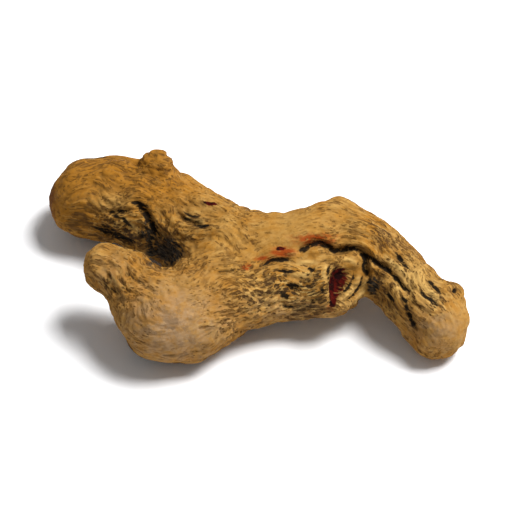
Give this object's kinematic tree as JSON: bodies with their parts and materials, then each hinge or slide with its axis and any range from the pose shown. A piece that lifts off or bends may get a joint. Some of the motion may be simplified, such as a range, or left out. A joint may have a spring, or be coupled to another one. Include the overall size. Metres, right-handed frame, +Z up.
{
  "type": "turmeric root",
  "caption": "Dried branched turmeric rhizome, lying down: blunt finger, raised stub, broad bulge, broken side branch and bent right finger.",
  "frame": {"origin": "centre of the underside of the bounding box, on the surface that the root lies on", "axes": "+X along the root towards the tip of the bent right finger, +Y towards the back, where the blunt left finger lies, +Z up"},
  "size_m": [0.0571, 0.0333, 0.0141],
  "materials": {
    "turmeric_skin": "dry matt ochre skin, wrinkled along each finger, dark in the furrows, orange-red where it is rubbed or broken"
  },
  "bodies": {
    "root": {"turmeric_root": "turmeric_skin"}
  },
  "joints": []
}
